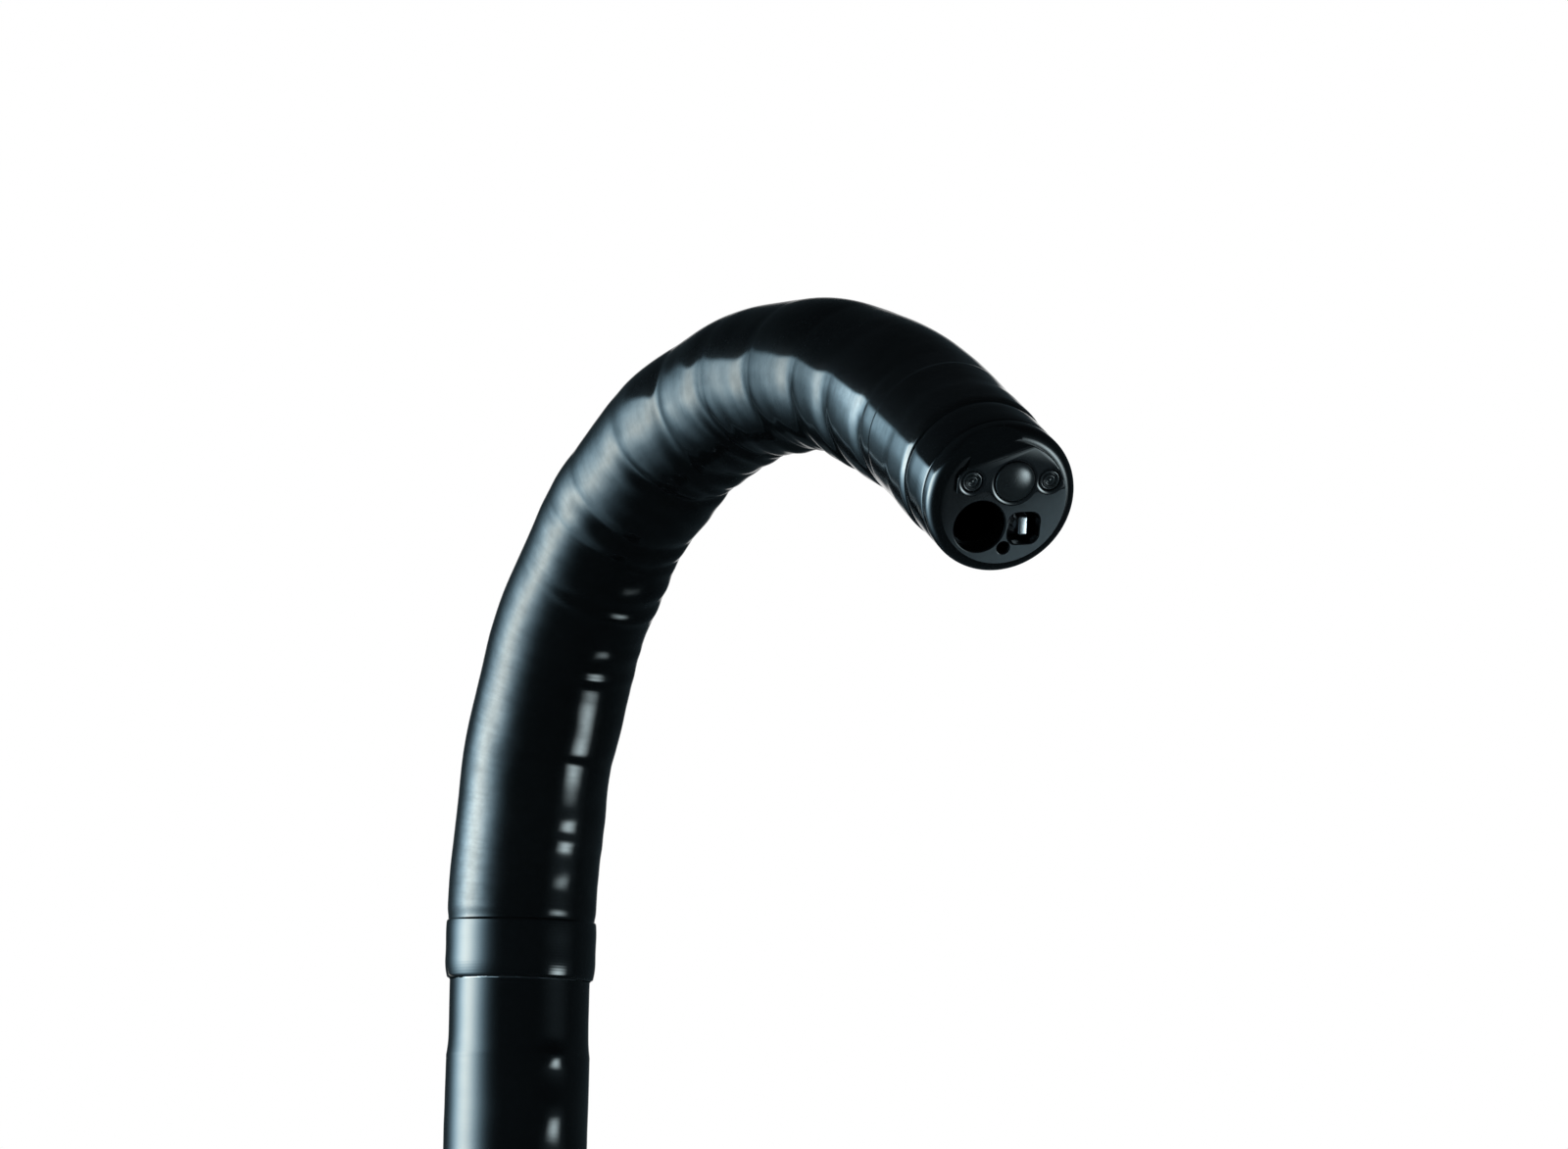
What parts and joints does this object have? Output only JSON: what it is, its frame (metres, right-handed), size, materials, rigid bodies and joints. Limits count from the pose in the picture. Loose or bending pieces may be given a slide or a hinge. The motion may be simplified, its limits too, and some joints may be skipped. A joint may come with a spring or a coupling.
{
  "type": "flexible endoscope distal end",
  "caption": "Distal end of a flexible endoscope: lens and channel tip, steerable bending section of hinged links under a rubber cover, and the front of its insertion tube.",
  "frame": {"origin": "on the insertion tube's axis at the rear face of its ferrule", "axes": "+Z forwards along the insertion tube; +X the side that the tip's camera calls down; +Y the camera's right"},
  "size_m": [0.0738, 0.0277, 0.0729],
  "materials": {
    "steel": "fine brushed stainless steel",
    "jacket": "smooth glossy black polyurethane jacket",
    "binding": "black thread binding sealed under glossy epoxy",
    "rubber": "thin glossy black fluoro-rubber, lightly wrinkled over the links",
    "channel": "off-white PTFE tube",
    "fibre": "dark sheathed bundle",
    "cap": "polished black moulded insulating plastic",
    "glass": "coated optical glass"
  },
  "bodies": {
    "insertion_tube": {"rear_ferrule": "steel", "insertion_tube_jacket": "jacket", "insertion_tube_braid": "steel", "insertion_tube_coil": "steel", "junction_ferrule": "steel", "junction_band": "binding", "up_coil_pipe": "steel", "down_coil_pipe": "steel", "left_coil_pipe": "steel", "right_coil_pipe": "steel", "bending_section_cover": "rubber", "bending_section_braid": "steel", "up_wire": "steel", "down_wire": "steel", "left_wire": "steel", "right_wire": "steel", "instrument_channel_tube": "channel", "air_tube": "channel", "water_tube": "channel", "water_jet_tube": "channel", "light_guide_left": "fibre", "light_guide_right": "fibre", "camera_cable": "fibre"},
    "link_01": {"link_01": "steel"},
    "link_02": {"link_02": "steel"},
    "link_03": {"link_03": "steel"},
    "link_04": {"link_04": "steel"},
    "link_05": {"link_05": "steel"},
    "link_06": {"link_06": "steel"},
    "link_07": {"link_07": "steel"},
    "link_08": {"link_08": "steel"},
    "link_09": {"link_09": "steel"},
    "link_10": {"link_10": "steel"},
    "link_11": {"link_11": "steel"},
    "link_12": {"link_12": "steel"},
    "link_13": {"link_13": "steel"},
    "link_14": {"link_14": "steel"},
    "link_15": {"link_15": "steel"},
    "tip": {"tip_ring": "steel", "tip_body": "steel", "tip_cap": "cap", "tip_band": "binding", "objective_lens": "glass", "lens_barrel": "steel", "image_sensor": "fibre", "light_lens_left": "glass", "light_lens_right": "glass", "air_water_nozzle": "steel", "water_jet_pipe": "steel", "channel_sleeve": "steel"}
  },
  "joints": [
    {"name": "bend_down_1", "type": "hinge", "parent": "insertion_tube", "child": "link_01", "pos_m": [0, 0, 0.031], "axis": [0, 1, 0], "range_deg": [-20.11, 4.62], "deforming": ["bending_section_cover", "bending_section_braid", "up_wire", "down_wire", "left_wire", "right_wire", "instrument_channel_tube", "air_tube", "water_tube", "water_jet_tube", "light_guide_left", "light_guide_right", "camera_cable"]},
    {"name": "bend_left_1", "type": "hinge", "parent": "link_01", "child": "link_02", "pos_m": [0.00067, 0, 0.03595], "axis": [0.9909, 0, -0.1348], "range_deg": [-9.99, 6.71]},
    {"name": "bend_down_2", "type": "hinge", "parent": "link_02", "child": "link_03", "pos_m": [0.00135, -0.00014, 0.04091], "axis": [0.0039, 0.9996, 0.0283], "range_deg": [-31.53, 7.24]},
    {"name": "bend_left_2", "type": "hinge", "parent": "link_03", "child": "link_04", "pos_m": [0.00305, -0.00028, 0.04561], "axis": [0.9404, 0.006, -0.3401], "range_deg": [-13.98, 9.4]},
    {"name": "bend_down_3", "type": "hinge", "parent": "link_04", "child": "link_05", "pos_m": [0.00475, -0.00062, 0.0503], "axis": [0.0175, 0.9977, 0.0659], "range_deg": [-40.75, 9.36]},
    {"name": "bend_left_3", "type": "hinge", "parent": "link_05", "child": "link_06", "pos_m": [0.00765, -0.00094, 0.05435], "axis": [0.8134, 0.0242, -0.5812], "range_deg": [-17.96, 12.07]},
    {"name": "bend_down_4", "type": "hinge", "parent": "link_06", "child": "link_07", "pos_m": [0.01055, -0.00152, 0.05839], "axis": [0.0473, 0.9931, 0.1075], "range_deg": [-46.37, 10.65]},
    {"name": "bend_left_4", "type": "hinge", "parent": "link_07", "child": "link_08", "pos_m": [0.01456, -0.00203, 0.06133], "axis": [0.5964, 0.0583, -0.8006], "range_deg": [-21.95, 14.75]},
    {"name": "bend_down_5", "type": "hinge", "parent": "link_08", "child": "link_09", "pos_m": [0.01854, -0.00285, 0.06424], "axis": [0.0975, 0.9847, 0.1443], "range_deg": [-47.54, 10.92]},
    {"name": "bend_left_5", "type": "hinge", "parent": "link_09", "child": "link_10", "pos_m": [0.02326, -0.00353, 0.06574], "axis": [0.3159, 0.1069, -0.9427], "range_deg": [-25.93, 17.42]},
    {"name": "bend_down_6", "type": "hinge", "parent": "link_10", "child": "link_11", "pos_m": [0.02793, -0.00458, 0.06719], "axis": [0.1672, 0.9718, 0.1662], "range_deg": [-44.08, 10.12]},
    {"name": "bend_left_6", "type": "hinge", "parent": "link_11", "child": "link_12", "pos_m": [0.03286, -0.00543, 0.0672], "axis": [0.0295, 0.1636, -0.9861], "range_deg": [-29.91, 20.1]},
    {"name": "bend_down_7", "type": "hinge", "parent": "link_12", "child": "link_13", "pos_m": [0.0377, -0.0067, 0.06713], "axis": [0.2509, 0.9537, 0.1657], "range_deg": [-36.51, 8.39]},
    {"name": "bend_left_7", "type": "hinge", "parent": "link_13", "child": "link_14", "pos_m": [0.04243, -0.00772, 0.06587], "axis": [-0.2065, 0.2199, -0.9534], "range_deg": [-33.89, 22.77]},
    {"name": "bend_down_8", "type": "hinge", "parent": "link_14", "child": "link_15", "pos_m": [0.04701, -0.0092, 0.06454], "axis": [0.3413, 0.9294, 0.1405], "range_deg": [-26, 5.97]},
    {"name": "bend_left_8", "type": "hinge", "parent": "link_15", "child": "tip", "pos_m": [0.05135, -0.01047, 0.06239], "axis": [-0.3627, 0.2681, -0.8925], "range_deg": [-37.87, 25.45]}
  ],
  "couplings": [
    {"joint": "bend_down_2", "follows": "bend_down_1", "ratio": 1.5674},
    {"joint": "bend_left_2", "follows": "bend_left_1", "ratio": 1.3984},
    {"joint": "bend_down_3", "follows": "bend_down_1", "ratio": 2.0258},
    {"joint": "bend_left_3", "follows": "bend_left_1", "ratio": 1.7968},
    {"joint": "bend_down_4", "follows": "bend_down_1", "ratio": 2.3053},
    {"joint": "bend_left_4", "follows": "bend_left_1", "ratio": 2.1952},
    {"joint": "bend_down_5", "follows": "bend_down_1", "ratio": 2.3634},
    {"joint": "bend_left_5", "follows": "bend_left_1", "ratio": 2.5936},
    {"joint": "bend_down_6", "follows": "bend_down_1", "ratio": 2.1913},
    {"joint": "bend_left_6", "follows": "bend_left_1", "ratio": 2.992},
    {"joint": "bend_down_7", "follows": "bend_down_1", "ratio": 1.8151},
    {"joint": "bend_left_7", "follows": "bend_left_1", "ratio": 3.3904},
    {"joint": "bend_down_8", "follows": "bend_down_1", "ratio": 1.2922},
    {"joint": "bend_left_8", "follows": "bend_left_1", "ratio": 3.7888}
  ]
}
